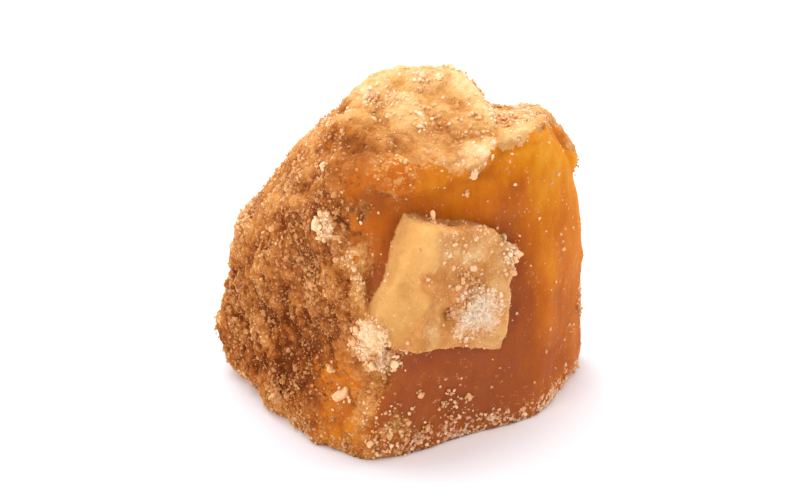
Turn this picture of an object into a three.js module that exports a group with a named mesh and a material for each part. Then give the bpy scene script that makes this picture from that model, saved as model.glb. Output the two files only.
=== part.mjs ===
// A broken block of jaggery: unrefined cane sugar, boiled down, set hard and knocked into chunks.
// One solid, in millimetres, +Z up, standing on a flat base. The origin is the middle of its base.
// The front, towards -Y, and the right end are fresh breaks: smooth, waxy and a little hollow. A thick
// flake of crust still clings to the front. The crown and the other sides wear a lumpy crust of sugar
// crumbs that stands proud of the broken faces.
//
// The solid is the zero level of a field: negative inside, positive outside, and about a distance in mm.
// Each vertex of a sphere of directions walks in from outside along its ray until the field turns
// negative. Then the vertices spread themselves evenly over the surface.
import * as THREE from "three";
import { mergeVertices } from "three/addons/utils/BufferGeometryUtils.js";

// Driving dimensions.
const WIDTH = 40; // along X
const DEPTH = 37; // along Y
const HEIGHT = 37.5; // along Z
const CORE = new THREE.Vector3(0, 0, 17); // where every ray starts
const EDGE_ROUNDING = 0.55; // how softly two facets meet
const HOLLOW_ROUNDING = 0.5;
const STEP_ROUNDING = 1.0;
const FLAKE_ROUNDING = 0.4; // the fillet where the flake joins the front
const CRUST_REACH = 1.4; // how far a crusted facet's crust wraps round its edges
const CRUST_THICKNESS = 0.9; // how far the crust stands proud of a broken face
const CRUST_EDGE = 0.2; // half the change in crust share over which the crust runs out
const PATCH_SIZE = 6.5; // the spacing of the bays and tongues in the crust's edge
const PATCH_SHARE = 0.34; // how far they move that edge, in crust share
const LUMP_SIZE = 3.4; // the spacing of the crust's lumps
const LUMP_HEIGHT = 0.85;
const WARP_SIZE = 13; // the spacing of the slow waves that bend the facets
const WARP_HEIGHT = 1.3;
const RIPPLE_SIZE = 5.5; // the waves that a blow leaves in a broken face
const RIPPLE_HEIGHT = 0.35;

// The mesh.
const SPHERE_DETAIL = 23; // splits each edge of an icosahedron into one more than this
const RAY_LENGTH = 34;
const RAY_STEP = 0.4;
const RAY_HALVINGS = 16;
const SPREAD_ROUNDS = 7;
const SPREAD_SHARE = 0.5; // how far a vertex moves towards the middle of its neighbours
const PULLS = 2; // the steps that draw it back onto the surface
const LONGEST_PULL = 0.6;
const FLATTEST_SLOPE = 0.25; // squared; keeps a pull short where the field is nearly level
const SLOPE_STEP = 0.05;
const FLAT_WITHIN = 0.05; // a vertex this close to the ground lies on it

// The flat faces that the block broke and set into. An azimuth is counted from +X towards +Y and a tilt
// up from the horizon, both in degrees. The reach is from CORE. Crust is the share of the face that
// wears crust; below zero, the face pushes its neighbours' crust back.
const FACETS = [
  { name: "broken front", azimuth: -59, tilt: 2, reach: 12.0, crust: 0.0 },
  { name: "front corner", azimuth: -118, tilt: 1, reach: 14.9, crust: 0.75 },
  { name: "right bevel", azimuth: -24, tilt: 0, reach: 15.8, crust: -0.3 },
  { name: "right end", azimuth: 2, tilt: 0, reach: 19.6, crust: -0.2 },
  { name: "left side", azimuth: -151, tilt: 2, reach: 13.4, crust: 0.8 },
  { name: "back left", azimuth: 128, tilt: 3, reach: 16.2, crust: 1.0 },
  { name: "back right", azimuth: 62, tilt: 5, reach: 15.6, crust: 0.4 },
  { name: "crown", azimuth: -82, tilt: 76, reach: 16.6, crust: 1.0 },
  { name: "front slope", azimuth: -92, tilt: 40, reach: 18.0, crust: 0.65 },
  { name: "left slope", azimuth: -176, tilt: 31, reach: 14.2, crust: 0.9 },
  { name: "left shoulder", azimuth: 152, tilt: 43, reach: 14.8, crust: 1.0 },
  { name: "right shoulder", azimuth: 51, tilt: 57, reach: 18.9, crust: 0.9 },
  { name: "right slope", azimuth: 12, tilt: 30, reach: 19.9, crust: 0.5 },
  { name: "back slope", azimuth: 92, tilt: 61, reach: 17.6, crust: 1.0 },
  { name: "left undercut", azimuth: -160, tilt: -42, reach: 21.0, crust: 0.8 },
  { name: "front undercut", azimuth: -50, tilt: -48, reach: 22.2, crust: 0.1 },
  { name: "right undercut", azimuth: -5, tilt: -42, reach: 25.0, crust: 0.2 },
  { name: "back undercut", azimuth: 92, tilt: -42, reach: 20.6, crust: 0.9 },
];

// The clinging flake is a slab on the broken front, with ragged sides. Each side's facing is counted from
// along the front towards up, in degrees, and its reach is from the flake's middle. The slab is thickest
// at a leaning ridge and falls away from it to both sides.
const FLAKE = {
  middle: new THREE.Vector3(4.7, -11.1, 17.0),
  sides: [
    { name: "top", facing: 72, reach: 8.6 },
    { name: "top right", facing: 48, reach: 8.6 },
    { name: "right", facing: -12, reach: 6.9 },
    { name: "bottom", facing: -105, reach: 4.7 },
    { name: "left", facing: 153, reach: 8.6 },
  ],
  ridge: -5.3, // the ridge's place along the front, at the middle's height
  ridgeLean: 0.27, // how far along it moves in each millimetre up
  thickness: 3.6, // at the ridge
  leftFall: 0.62, // thickness lost in each millimetre
  rightFall: 0.14,
  root: 4.0, // how deep it reaches into the block
  edge: 0.8, // the radius of its rim
  raggedSize: 3.6, // the teeth of its rim
  raggedDepth: 0.5,
  pitSize: 2.6, // the shallow pits of its face
  pitDepth: 0.5,
};

// The crown drops to a lower step on its right: a wall that leans back, down to a sloping floor.
const STEP = {
  foot: new THREE.Vector3(9.4, 8.0, 28.2), // where the wall meets the floor
  wall: { azimuth: 15, tilt: 34 },
  floor: { azimuth: 125, tilt: 70 },
};

// The shell-shaped scars of single blows, as egg-shaped hollows.
const HOLLOWS = [
  { name: "bevel scar", middle: new THREE.Vector3(27.5, -11.0, 19.0), radii: [9.6, 9.6, 16.0] },
  { name: "foot scar", middle: new THREE.Vector3(8.0, -22.6, 6.0), radii: [11.0, 9.0, 5.0] },
  { name: "left pit", middle: new THREE.Vector3(-20.5, -8.5, 12.0), radii: [4.6, 4.6, 4.2] },
  { name: "back scar", middle: new THREE.Vector3(15.0, 22.0, 14.0), radii: [9.0, 9.5, 11.0] },
];

// Each use of the noise has a seed of its own.
const SEEDS = { warpX: 11, warpY: 12, warpZ: 13, patches: 21, ripples: 31, rim: 41, pits: 43, lumps: 51 };

const radians = THREE.MathUtils.degToRad;

function directionOf(azimuth, tilt) {
  const a = radians(azimuth);
  const t = radians(tilt);
  return new THREE.Vector3(Math.cos(t) * Math.cos(a), Math.cos(t) * Math.sin(a), Math.sin(t));
}

for (const facet of FACETS) facet.normal = directionOf(facet.azimuth, facet.tilt);
const FRONT = FACETS[0].normal;
const ALONG_FRONT = new THREE.Vector3(-FRONT.y, FRONT.x, 0).normalize();
const STEP_WALL = directionOf(STEP.wall.azimuth, STEP.wall.tilt);
const STEP_FLOOR = directionOf(STEP.floor.azimuth, STEP.floor.tilt);

// Pseudo-random numbers from 0 to 1, one for each point of a whole-number lattice.
function latticeValue(x, y, z, seed) {
  let h = Math.imul(x, 374761393) ^ Math.imul(y, 668265263) ^ Math.imul(z, 1274126177);
  h ^= Math.imul(seed, 1597334677);
  h = Math.imul(h ^ (h >>> 15), 2246822519);
  h = Math.imul(h ^ (h >>> 13), 3266489917);
  return ((h ^ (h >>> 16)) >>> 0) / 4294967296;
}

const fade = (t) => t * t * t * (t * (t * 6 - 15) + 10);

// Smooth waves from -1 to 1, about one size apart: the lattice's values, blended across each cell.
function waves(p, size, seed) {
  const x = p.x / size;
  const y = p.y / size;
  const z = p.z / size;
  const ix = Math.floor(x);
  const iy = Math.floor(y);
  const iz = Math.floor(z);
  const fx = fade(x - ix);
  const fy = fade(y - iy);
  const fz = fade(z - iz);
  let sum = 0;
  for (let corner = 0; corner < 8; corner++) {
    const cx = corner & 1;
    const cy = (corner >> 1) & 1;
    const cz = corner >> 2;
    const weight = (cx ? fx : 1 - fx) * (cy ? fy : 1 - fy) * (cz ? fz : 1 - fz);
    sum += weight * latticeValue(ix + cx, iy + cy, iz + cz, seed);
  }
  return 2 * sum - 1;
}

// Waves with half as much again at half the size, under the next seed.
const roughWaves = (p, size, seed) => waves(p, size, seed) + 0.5 * waves(p, size / 2, seed + 1);

// Heaped lumps, from 0 between them to 1 on top: one round bump of its own radius in each cell.
function lumps(p, size, seed) {
  const x = p.x / size;
  const y = p.y / size;
  const z = p.z / size;
  let top = 0;
  for (let i = -1; i <= 1; i++)
    for (let j = -1; j <= 1; j++)
      for (let k = -1; k <= 1; k++) {
        const cx = Math.floor(x) + i;
        const cy = Math.floor(y) + j;
        const cz = Math.floor(z) + k;
        const dx = cx + latticeValue(cx, cy, cz, seed) - x;
        const dy = cy + latticeValue(cx, cy, cz, seed + 1) - y;
        const dz = cz + latticeValue(cx, cy, cz, seed + 2) - z;
        const radius = 0.45 + 0.5 * latticeValue(cx, cy, cz, seed + 3);
        const square = (dx * dx + dy * dy + dz * dz) / (radius * radius);
        top = Math.max(top, Math.sqrt(Math.max(0, 1 - square)) * radius);
      }
  return top;
}

// The larger of two fields with their meeting edge rounded, and the smaller one likewise.
function roundedMax(a, b, rounding) {
  const h = Math.max(rounding - Math.abs(a - b), 0) / rounding;
  return Math.max(a, b) + (h * h * rounding) / 4;
}
const roundedMin = (a, b, rounding) => -roundedMax(-a, -b, rounding);

// The clinging flake, as a field of its own.
function flakeField(p) {
  const offset = p.clone().sub(FLAKE.middle);
  const along = offset.dot(ALONG_FRONT);
  const outward = offset.dot(FRONT) - FLAKE.pitDepth * waves(p, FLAKE.pitSize, SEEDS.pits);
  const pastSides = FLAKE.sides.map(({ facing, reach }) =>
    along * Math.cos(radians(facing)) + offset.z * Math.sin(radians(facing)) - reach);
  const rim = Math.max(...pastSides) + FLAKE.raggedDepth * roughWaves(p, FLAKE.raggedSize, SEEDS.rim);
  const beside = along - FLAKE.ridge - FLAKE.ridgeLean * offset.z;
  const thickness = FLAKE.thickness - (beside < 0 ? -FLAKE.leftFall : FLAKE.rightFall) * beside;
  const pastRim = Math.max(rim + FLAKE.edge, 0);
  const pastFace = Math.max(outward - thickness + FLAKE.edge, -outward - FLAKE.root, 0);
  return Math.hypot(pastRim, pastFace) - FLAKE.edge;
}

// What the step takes away, as a field that is positive there.
function stepField(p) {
  const offset = p.clone().sub(STEP.foot);
  return roundedMin(offset.dot(STEP_WALL), offset.dot(STEP_FLOOR), STEP_ROUNDING);
}

// An egg-shaped hollow, as a field that is positive inside the hollow.
function hollowField(p, { middle, radii: [rx, ry, rz] }) {
  const share = Math.hypot((p.x - middle.x) / rx, (p.y - middle.y) / ry, (p.z - middle.z) / rz);
  return (1 - share) * Math.min(rx, ry, rz);
}

// The facets with their edges rounded, and how much crust the nearest of them wear.
function facetField(p) {
  const bent = new THREE.Vector3(
    p.x + WARP_HEIGHT * waves(p, WARP_SIZE, SEEDS.warpX),
    p.y + WARP_HEIGHT * waves(p, WARP_SIZE, SEEDS.warpY),
    p.z + WARP_HEIGHT * waves(p, WARP_SIZE, SEEDS.warpZ),
  ).sub(CORE);
  let sum = 0;
  let near = 0;
  let crusted = 0;
  for (const { normal, reach, crust } of FACETS) {
    const outside = bent.dot(normal) - reach;
    const nearness = Math.exp(outside / CRUST_REACH);
    sum += Math.exp(outside / EDGE_ROUNDING);
    near += nearness;
    crusted += nearness * crust;
  }
  return { field: EDGE_ROUNDING * Math.log(sum), share: crusted / near };
}

function blockField(p) {
  let { field, share } = facetField(p);
  field += RIPPLE_HEIGHT * waves(p, RIPPLE_SIZE, SEEDS.ripples);
  field = roundedMax(field, stepField(p), HOLLOW_ROUNDING);
  for (const hollow of HOLLOWS) field = roundedMax(field, hollowField(p, hollow), HOLLOW_ROUNDING);
  share += PATCH_SHARE * roughWaves(p, PATCH_SIZE, SEEDS.patches);
  const crust = THREE.MathUtils.smoothstep(share, 0.5 - CRUST_EDGE, 0.5 + CRUST_EDGE);
  field -= crust * (CRUST_THICKNESS + LUMP_HEIGHT * lumps(p, LUMP_SIZE, SEEDS.lumps));
  field = roundedMin(field, flakeField(p), FLAKE_ROUNDING);
  return Math.max(field, -p.z);
}

// The distance from CORE to the surface: steps in from outside, then halves the last step.
function reachAlong(direction) {
  const at = (r) => blockField(CORE.clone().addScaledVector(direction, r));
  let far = RAY_LENGTH;
  while (far > RAY_STEP && at(far - RAY_STEP) > 0) far -= RAY_STEP;
  let near = far - RAY_STEP;
  for (let i = 0; i < RAY_HALVINGS; i++) {
    const middle = (near + far) / 2;
    if (at(middle) > 0) far = middle;
    else near = middle;
  }
  return near;
}

// The field's slope, by small steps either way along each axis.
function slopeAt(p) {
  const slope = new THREE.Vector3();
  for (const axis of ["x", "y", "z"]) {
    const ahead = p.clone();
    const behind = p.clone();
    ahead[axis] += SLOPE_STEP;
    behind[axis] -= SLOPE_STEP;
    slope[axis] = (blockField(ahead) - blockField(behind)) / (2 * SLOPE_STEP);
  }
  return slope;
}

function drawOntoSurface(point) {
  const slope = slopeAt(point);
  const pull = -blockField(point) / Math.max(slope.lengthSq(), FLATTEST_SLOPE);
  point.addScaledVector(slope, THREE.MathUtils.clamp(pull, -LONGEST_PULL, LONGEST_PULL));
}

// Each vertex's neighbours along the mesh's edges.
function neighboursOf(geometry) {
  const neighbours = Array.from({ length: geometry.getAttribute("position").count }, () => new Set());
  const index = geometry.index.array;
  for (let i = 0; i < index.length; i += 3)
    for (let side = 0; side < 3; side++) {
      neighbours[index[i + side]].add(index[i + ((side + 1) % 3)]);
      neighbours[index[i + side]].add(index[i + ((side + 2) % 3)]);
    }
  return neighbours.map((set) => [...set]);
}

// Spreads the vertices evenly over steep steps: each moves towards the middle of its neighbours and is
// then drawn back onto the surface. The last round draws nothing back, which rounds off what the mesh is
// too coarse to follow.
function spread(points, neighbours) {
  for (let round = 1; round <= SPREAD_ROUNDS; round++) {
    const middles = neighbours.map((near) => {
      const middle = new THREE.Vector3();
      for (const n of near) middle.add(points[n]);
      return middle.divideScalar(near.length);
    });
    points.forEach((point, i) => point.lerp(middles[i], SPREAD_SHARE));
    const pulls = round < SPREAD_ROUNDS ? PULLS : 0;
    for (let pull = 0; pull < pulls; pull++) points.forEach(drawOntoSurface);
  }
}

// Stretches the finished surface onto the driving dimensions, with the base at z = 0.
function fitToSize(geometry) {
  geometry.computeBoundingBox();
  const { min, max } = geometry.boundingBox;
  geometry.translate(-(min.x + max.x) / 2, -(min.y + max.y) / 2, -min.z);
  geometry.scale(WIDTH / (max.x - min.x), DEPTH / (max.y - min.y), HEIGHT / (max.z - min.z));
}

function blockGeometry() {
  const sphere = new THREE.IcosahedronGeometry(1, SPHERE_DETAIL);
  sphere.deleteAttribute("normal");
  sphere.deleteAttribute("uv");
  const geometry = mergeVertices(sphere, 1e-4);
  const position = geometry.getAttribute("position");
  const points = [];
  for (let i = 0; i < position.count; i++) {
    const direction = new THREE.Vector3().fromBufferAttribute(position, i).normalize();
    points.push(CORE.clone().addScaledVector(direction, reachAlong(direction)));
  }
  spread(points, neighboursOf(geometry));
  points.forEach((point, i) => position.setXYZ(i, point.x, point.y, point.z < FLAT_WITHIN ? 0 : point.z));
  fitToSize(geometry);
  geometry.computeVertexNormals();
  return geometry;
}

const jaggery = new THREE.MeshStandardMaterial({ color: 0xd18a44, roughness: 0.55, metalness: 0 });
const block = new THREE.Mesh(blockGeometry(), jaggery);
block.name = "jaggery_block";

const root = new THREE.Group();
root.add(block);

export default root;
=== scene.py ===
"""The looks of a broken block of jaggery: its fine surface, its sugar crumbs, the floor and the lights.

Shapes are worked out in millimetres with numpy and put into the meshes in metres.
"""
import math
from itertools import combinations, product
from types import SimpleNamespace

import bpy
import numpy as np
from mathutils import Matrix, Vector

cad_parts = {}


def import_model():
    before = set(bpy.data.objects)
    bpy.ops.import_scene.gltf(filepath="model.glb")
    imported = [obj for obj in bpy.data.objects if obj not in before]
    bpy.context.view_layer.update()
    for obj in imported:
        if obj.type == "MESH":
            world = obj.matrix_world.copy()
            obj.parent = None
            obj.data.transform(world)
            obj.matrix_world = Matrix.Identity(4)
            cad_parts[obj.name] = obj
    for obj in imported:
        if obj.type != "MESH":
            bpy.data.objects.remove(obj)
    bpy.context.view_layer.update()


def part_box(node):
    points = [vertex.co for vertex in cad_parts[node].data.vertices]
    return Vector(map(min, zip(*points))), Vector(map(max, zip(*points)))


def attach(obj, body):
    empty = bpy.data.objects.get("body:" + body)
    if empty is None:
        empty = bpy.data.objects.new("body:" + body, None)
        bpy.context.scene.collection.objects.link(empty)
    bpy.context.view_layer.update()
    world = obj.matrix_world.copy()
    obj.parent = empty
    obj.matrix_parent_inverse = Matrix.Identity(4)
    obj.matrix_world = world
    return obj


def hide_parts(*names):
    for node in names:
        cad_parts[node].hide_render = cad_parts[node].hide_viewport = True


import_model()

MM = 0.001

# ---------------------------------------------------------------------------------------------------------
# The block's form, in millimetres: the same facets, flake, step and hollows as the solid's.

CORE = np.array([0.0, 0.0, 17.0])  # where every ray starts
EDGE_ROUNDING = 0.55  # between two facets
HOLLOW_ROUNDING = 0.5  # round the step and the hollows
STEP_ROUNDING = 1.0  # between the step's wall and its floor
FLAKE_ROUNDING = 0.4  # round the flake's foot
CRUST_REACH = 1.4  # how far one facet's share of crust blends into the next one's
CRUST_THICKNESS = 0.9
CRUST_EDGE = 0.2  # the crust rises to its thickness between this much below and above a half
PATCH_SIZE, PATCH_SHARE = 6.5, 0.34  # what breaks up the crust's edge
LUMP_SIZE, LUMP_HEIGHT = 3.4, 0.85  # the crust's lumps
WARP_SIZE, WARP_HEIGHT = 13.0, 1.3  # what bends the facets
RIPPLE_SIZE, RIPPLE_HEIGHT = 5.5, 0.35  # what ripples them

# Azimuth and tilt in degrees, reach from CORE, and the share of the face that wears crust.
FACETS = {
    "broken front": (-59, 2, 12.0, 0.0),
    "front corner": (-118, 1, 14.9, 0.75),
    "right bevel": (-24, 0, 15.8, -0.3),
    "right end": (2, 0, 19.6, -0.2),
    "left side": (-151, 2, 13.4, 0.8),
    "back left": (128, 3, 16.2, 1.0),
    "back right": (62, 5, 15.6, 0.4),
    "crown": (-82, 76, 16.6, 1.0),
    "front slope": (-92, 40, 18.0, 0.65),
    "left slope": (-176, 31, 14.2, 0.9),
    "left shoulder": (152, 43, 14.8, 1.0),
    "right shoulder": (51, 57, 18.9, 0.9),
    "right slope": (12, 30, 19.9, 0.5),
    "back slope": (92, 61, 17.6, 1.0),
    "left undercut": (-160, -42, 21.0, 0.8),
    "front undercut": (-50, -48, 22.2, 0.1),
    "right undercut": (-5, -42, 25.0, 0.2),
    "back undercut": (92, -42, 20.6, 0.9),
}

FLAKE_MIDDLE = np.array([4.7, -11.1, 17.0])
# The way each side of the flake faces, in degrees from along the front, and its reach from the middle.
FLAKE_SIDES = {
    "top": (72, 8.6),
    "top right": (48, 8.6),
    "right": (-12, 6.9),
    "bottom": (-105, 4.7),
    "left": (153, 8.6),
}
FLAKE_RIDGE, FLAKE_RIDGE_LEAN = -5.3, 0.27  # how far along the front it stands, and how much it leans
# At the ridge, and how much of it is lost with each millimetre to the left and to the right.
FLAKE_THICKNESS, FLAKE_LEFT_FALL, FLAKE_RIGHT_FALL = 3.6, 0.62, 0.14
FLAKE_ROOT, FLAKE_EDGE = 4.0, 0.8  # its depth in the block, and the rounding of its rim
FLAKE_RAGGED_SIZE, FLAKE_RAGGED_DEPTH = 3.6, 0.5
FLAKE_PIT_SIZE, FLAKE_PIT_DEPTH = 2.6, 0.5

STEP_FOOT = np.array([9.4, 8.0, 28.2])
STEP_WALL, STEP_FLOOR = (15, 34), (125, 70)  # azimuth and tilt

# Scoops out of the faces: middle and radii.
HOLLOWS = {
    "bevel scar": ((27.5, -11.0, 19.0), (9.6, 9.6, 16.0)),
    "foot scar": ((8.0, -22.6, 6.0), (11.0, 9.0, 5.0)),
    "left pit": ((-20.5, -8.5, 12.0), (4.6, 4.6, 4.2)),
    "back scar": ((15.0, 22.0, 14.0), (9.0, 9.5, 11.0)),
}


def direction(azimuth, tilt):
    """The unit vector at an azimuth from +X and a tilt above the level, both in degrees."""
    a, t = math.radians(azimuth), math.radians(tilt)
    return np.array([math.cos(t) * math.cos(a), math.cos(t) * math.sin(a), math.sin(t)])


FRONT = direction(*FACETS["broken front"][:2])
ALONG_FRONT = np.array([-FRONT[1], FRONT[0], 0]) / math.hypot(FRONT[0], FRONT[1])


def lattice(cell, seed):
    """Pseudo-random numbers from 0 to 1, one for each whole-number cell: its three numbers hashed."""
    x, y, z = (np.asarray(c).astype(np.int64).astype(np.uint32) for c in cell)
    h = x * np.uint32(374761393) ^ y * np.uint32(668265263) ^ z * np.uint32(1274126177)
    h = h ^ np.uint32(seed * 1597334677 & 0xFFFFFFFF)
    h = (h ^ (h >> np.uint32(15))) * np.uint32(2246822519)
    h = (h ^ (h >> np.uint32(13))) * np.uint32(3266489917)
    return (h ^ (h >> np.uint32(16))) / 4294967296.0


def waves(p, size, seed):
    """Smooth waves from -1 to 1, about one size apart: the lattice's values, blended across each cell."""
    q = p.T / size
    cell = np.floor(q)
    f = q - cell
    f = f * f * f * (f * (f * 6 - 15) + 10)
    total = np.zeros(len(p))
    for corner in product((0, 1), repeat=3):
        weight = 1.0
        for axis in range(3):
            weight = weight * (f[axis] if corner[axis] else 1 - f[axis])
        total += weight * lattice([cell[axis] + corner[axis] for axis in range(3)], seed)
    return 2 * total - 1


def rough_waves(p, size, seed):
    """Waves with half as much again at half the size, under the next seed."""
    return waves(p, size, seed) + 0.5 * waves(p, size / 2, seed + 1)


def lumps(p, size, seed):
    """Heaped balls, one in each cell with its own middle and radius: (the height of the highest one there,
    from 0 to 1, and a random number that belongs to it)."""
    q = p.T / size
    base = np.floor(q)
    top = np.zeros(len(p))
    number = np.zeros(len(p))
    for shift in product((-1, 0, 1), repeat=3):
        cell = [base[axis] + shift[axis] for axis in range(3)]
        square = sum((cell[axis] + lattice(cell, seed + axis) - q[axis]) ** 2 for axis in range(3))
        radius = 0.45 + 0.5 * lattice(cell, seed + 3)
        height = np.sqrt(np.maximum(0, 1 - square / radius**2)) * radius
        higher = height > top
        top = np.where(higher, height, top)
        number = np.where(higher, lattice(cell, seed + 4), number)
    return top, number


def rounded_max(a, b, rounding):
    """The larger of two fields, with a parabola where they differ by less than the rounding."""
    h = np.maximum(rounding - np.abs(a - b), 0) / rounding
    return np.maximum(a, b) + h * h * rounding / 4


def rounded_min(a, b, rounding):
    """The smaller of two fields, rounded in the same way."""
    return -rounded_max(-a, -b, rounding)


def smoothstep(x, low, high):
    """0 below low, 1 above high, and 3t^2 - 2t^3 between them, where t runs from 0 to 1."""
    t = np.clip((x - low) / (high - low), 0, 1)
    return t * t * (3 - 2 * t)


def beside_ridge(p):
    """How far along the front each point lies from the flake's leaning ridge."""
    offset = p - FLAKE_MIDDLE
    return offset @ ALONG_FRONT - FLAKE_RIDGE - FLAKE_RIDGE_LEAN * offset[:, 2]


def flake_field(p):
    """The clinging flake: a slab thickest at its ridge. The field is the distance past its ragged sides and
    its faces, as the two sides of a right angle, less the rounding of its rim."""
    offset = p - FLAKE_MIDDLE
    along, up = offset @ ALONG_FRONT, offset[:, 2]
    outward = offset @ FRONT - FLAKE_PIT_DEPTH * waves(p, FLAKE_PIT_SIZE, 43)
    rim = np.full(len(p), -np.inf)
    for facing, reach in FLAKE_SIDES.values():
        a = math.radians(facing)
        rim = np.maximum(rim, along * math.cos(a) + up * math.sin(a) - reach)
    rim = rim + FLAKE_RAGGED_DEPTH * rough_waves(p, FLAKE_RAGGED_SIZE, 41)
    beside = beside_ridge(p)
    thickness = FLAKE_THICKNESS - np.where(beside < 0, -FLAKE_LEFT_FALL, FLAKE_RIGHT_FALL) * beside
    past_face = np.maximum(outward - thickness + FLAKE_EDGE, np.maximum(-outward - FLAKE_ROOT, 0))
    return np.hypot(np.maximum(rim + FLAKE_EDGE, 0), past_face) - FLAKE_EDGE


def facet_field(p):
    """(the largest distance past a facet, the nearest facets' share of crust). The logarithm of a sum of
    exponentials rounds the edges. The share is a mean in which the nearest facets weigh most."""
    bent = p - CORE + WARP_HEIGHT * np.stack([waves(p, WARP_SIZE, seed) for seed in (11, 12, 13)], 1)
    total, near, crusted = (np.zeros(len(p)) for _ in range(3))
    for azimuth, tilt, reach, crust in FACETS.values():
        outside = bent @ direction(azimuth, tilt) - reach
        nearness = np.exp(outside / CRUST_REACH)
        total += np.exp(outside / EDGE_ROUNDING)
        near += nearness
        crusted += nearness * crust
    return EDGE_ROUNDING * np.log(total), crusted / near


def crust_share(p, share):
    """The facets' share, broken up into bays and tongues. The crust's edge is where it passes a half."""
    return share + PATCH_SHARE * rough_waves(p, PATCH_SIZE, 21)


def block_field(p):
    """Negative inside the block and positive outside it, and about a distance in mm: the facets with their
    ripples, less the step and the hollows, plus the crust with its lumps, the flake and a flat base."""
    field, share = facet_field(p)
    field = field + RIPPLE_HEIGHT * waves(p, RIPPLE_SIZE, 31)
    offset = p - STEP_FOOT
    step = rounded_min(offset @ direction(*STEP_WALL), offset @ direction(*STEP_FLOOR), STEP_ROUNDING)
    field = rounded_max(field, step, HOLLOW_ROUNDING)
    for middle, radii in HOLLOWS.values():
        inside = (1 - np.linalg.norm((p - middle) / radii, axis=1)) * min(radii)
        field = rounded_max(field, inside, HOLLOW_ROUNDING)
    crust = smoothstep(crust_share(p, share), 0.5 - CRUST_EDGE, 0.5 + CRUST_EDGE)
    heap = np.zeros(len(p))
    near_crust = (crust > 0) & (np.abs(field) < CRUST_THICKNESS + LUMP_HEIGHT + 1)
    heap[near_crust] = lumps(p[near_crust], LUMP_SIZE, 51)[0]
    field = field - crust * (CRUST_THICKNESS + LUMP_HEIGHT * heap)
    field = rounded_min(field, flake_field(p), FLAKE_ROUNDING)
    return np.maximum(field, -p[:, 2])


# ---------------------------------------------------------------------------------------------------------
# A closed surface on the six sides of a cube, each a grid of two parameters.


def cube_grid(n):
    """(index, directions): six n by n grids of vertex numbers that share their seams, and a unit direction
    for each vertex. Steps along a grid are equal angles."""
    steps = np.arange(n + 1)
    u, v = np.meshgrid(steps, steps, indexing="ij")
    sides = []
    for axis in range(3):
        for high in (0, n):
            first, second = ((axis + 1) % 3, (axis + 2) % 3)
            corner = np.zeros((n + 1, n + 1, 3), int)
            corner[..., axis] = high
            corner[..., first], corner[..., second] = (u, v) if high else (v, u)
            sides.append(corner)
    corners = np.stack(sides).reshape(-1, 3)
    unique, index = np.unique(corners @ [(n + 1) ** 2, n + 1, 1], return_inverse=True)
    lattice_point = np.stack([unique // (n + 1) ** 2, unique // (n + 1) % (n + 1), unique % (n + 1)], 1)
    across = np.tan((lattice_point / n - 0.5) * math.pi / 2)
    return index.reshape(6, n + 1, n + 1), across / np.linalg.norm(across, axis=1, keepdims=True)


def edges_of(index):
    """Each pair of vertices that a grid line joins, once."""
    lines = [index[:, :-1, :], index[:, 1:, :], index[:, :, :-1], index[:, :, 1:]]
    pairs = np.concatenate([np.stack([lines[k].ravel(), lines[k + 1].ravel()], 1) for k in (0, 2)])
    return np.unique(np.sort(pairs, axis=1), axis=0)


def quads_of(index):
    """The four vertices round each square of the grids."""
    corners = [index[:, :-1, :-1], index[:, 1:, :-1], index[:, 1:, 1:], index[:, :-1, 1:]]
    return np.stack(corners, -1).reshape(-1, 4)


def finer(points, index, finer_index):
    """The same surface on a grid twice as fine: each new vertex lies midway between its neighbours."""
    n = index.shape[1] - 1
    grid = np.zeros((6, 2 * n + 1, 2 * n + 1, 3))
    grid[:, ::2, ::2] = points[index]
    grid[:, 1::2, ::2] = (grid[:, :-2:2, ::2] + grid[:, 2::2, ::2]) / 2
    grid[:, :, 1::2] = (grid[:, :, :-2:2] + grid[:, :, 2::2]) / 2
    result = np.zeros((finer_index.max() + 1, 3))
    result[finer_index] = grid
    return result


def gathered(edges, values, count):
    """For each vertex, the sum of its neighbours' values."""
    ends = np.concatenate([edges[:, 0], edges[:, 1]])
    others = np.concatenate([edges[:, 1], edges[:, 0]])
    return np.stack([np.bincount(ends, values[others, k], count) for k in range(values.shape[1])], 1)


def middles_of(edges, values):
    """For each vertex, the mean of its neighbours' values."""
    sums = gathered(edges, np.column_stack([values, np.ones(len(values))]), len(values))
    return sums[:, :-1] / sums[:, -1:]


def normals_of(points, quads):
    """Unit normals at the vertices: each quad's cross product of diagonals, summed at its corners."""
    face = np.cross(points[quads[:, 2]] - points[quads[:, 0]], points[quads[:, 3]] - points[quads[:, 1]])
    corners = quads.ravel()
    spread = np.repeat(face, 4, axis=0)
    normal = np.stack([np.bincount(corners, spread[:, k], len(points)) for k in range(3)], 1)
    return normal / np.maximum(np.linalg.norm(normal, axis=1, keepdims=True), 1e-12)


def pulled(points, field, step=0.05, longest=0.6, flattest=0.25):
    """The points moved along the field's slope, by the field over the slope, to where it is zero. The step
    measures the slope, the longest move is limited, and a slope squared counts as at least the flattest."""
    here = field(points)
    slope = np.stack([field(points + step * axis) - here for axis in np.eye(3)], 1) / step
    pull = np.clip(-here / np.maximum((slope**2).sum(1), flattest), -longest, longest)
    return points + slope * pull[:, None]


def reach_along(directions, field, start=34.0, steps=26, share=0.6, near=0.02):
    """How far out the field is zero along each ray. A point walks in from the start, by a share of the
    field's value each time, until it is near."""
    reach = np.full(len(directions), start)
    walking = np.arange(len(directions))
    for _ in range(steps):
        value = field(CORE + directions[walking] * reach[walking, None])
        reach[walking] -= share * value
        walking = walking[value > near]
        if not len(walking):
            break
    return reach


COARSEST = 32
ROUNDS = {32: 7, 64: 4, 128: 3}  # how often the vertices spread, for each grid
SPREADING = 0.5  # how far each one goes towards the middle of its neighbours
FINEST = 128


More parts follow.
